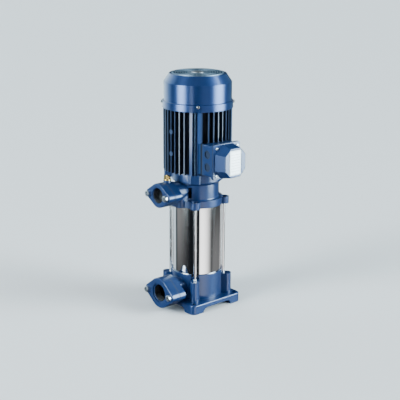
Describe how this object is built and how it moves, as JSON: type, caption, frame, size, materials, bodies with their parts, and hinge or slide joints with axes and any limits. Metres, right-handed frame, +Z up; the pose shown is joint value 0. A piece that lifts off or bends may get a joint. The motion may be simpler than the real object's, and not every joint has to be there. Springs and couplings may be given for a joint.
{
  "type": "vertical multistage pump",
  "caption": "Upright multistage centrifugal pump: cast base and head with oval flanged ports on one side, polished sleeve, tie rods and a finned fan-cooled motor on top.",
  "frame": {"origin": "centre of the four foot bolts on the underside of the base, where the shaft axis meets it", "axes": "+Z up along the shaft, -Y out of both ports, +X towards the terminal box"},
  "size_m": [0.241, 0.23, 0.613],
  "materials": {
    "painted_casting": "gloss",
    "painted_sheet": "gloss",
    "polished_sleeve": "polished",
    "stainless": "satin",
    "zinc_steel": "bright zinc",
    "bright_rod": "bright",
    "gasket": "matte",
    "seal_rubber": "matte",
    "carbon": "satin",
    "steel": "ground",
    "lamination": "satin",
    "copper": "varnished",
    "cast_aluminium": "as cast",
    "moulded_plastic": "satin",
    "rating_plate": "satin",
    "brass": "machined"
  },
  "bodies": {
    "housing": {"base_casing": "painted_casting", "suction_counterflange": "painted_casting", "suction_gasket": "gasket", "suction_flange_bolts": "zinc_steel", "outer_sleeve": "polished_sleeve", "sleeve_o_rings": "seal_rubber", "inlet_spider": "stainless", "lower_bush": "carbon", "diffuser_1": "stainless", "diffuser_2": "stainless", "diffuser_3": "stainless", "diffuser_4": "stainless", "diffuser_5": "stainless", "tie_rods": "bright_rod", "tie_rod_washers": "zinc_steel", "tie_rod_nuts": "zinc_steel", "discharge_head": "painted_casting", "discharge_counterflange": "painted_casting", "discharge_gasket": "gasket", "discharge_flange_bolts": "zinc_steel", "seal_seat": "carbon", "drive_end_shield": "painted_casting", "shield_screws": "zinc_steel", "motor_frame": "painted_casting", "stator_core": "lamination", "stator_windings": "copper", "bearing_outer_rings": "steel", "rear_shield": "painted_casting", "through_bolts": "zinc_steel", "fan_cover": "painted_sheet", "fan_cover_screws": "zinc_steel", "fan_grille": "zinc_steel", "terminal_box": "painted_casting", "entry_plugs": "painted_casting", "terminal_box_cover": "painted_casting", "terminal_box_screws": "zinc_steel", "terminal_board": "moulded_plastic", "rating_plate": "rating_plate"},
    "rotor": {"pump_shaft": "stainless", "impeller_1": "stainless", "impeller_2": "stainless", "impeller_3": "stainless", "impeller_4": "stainless", "impeller_5": "stainless", "impeller_spacers": "stainless", "impeller_nut": "stainless", "seal_spring": "stainless", "seal_face_ring": "carbon", "coupling_halves": "steel", "coupling_screws": "zinc_steel", "motor_shaft": "steel", "rotor_core": "lamination", "rotor_end_rings": "cast_aluminium", "bearing_inner_rings": "steel", "bearing_balls": "steel", "water_slinger": "seal_rubber", "cooling_fan": "moulded_plastic"},
    "priming_plug": {"priming_plug": "brass"},
    "drain_plug": {"drain_plug": "brass"}
  },
  "joints": [
    {"name": "rotor_spin", "type": "hinge", "parent": "housing", "child": "rotor", "pos_m": [0, 0, 0.2], "axis": [0, 0, 1], "continuous": true},
    {"name": "priming_plug_lift", "type": "slide", "parent": "housing", "child": "priming_plug", "axis": [0, 0, 1], "range_m": [0, 0.02]},
    {"name": "drain_plug_draw", "type": "slide", "parent": "housing", "child": "drain_plug", "axis": [0, 1, 0], "range_m": [0, 0.02]}
  ]
}
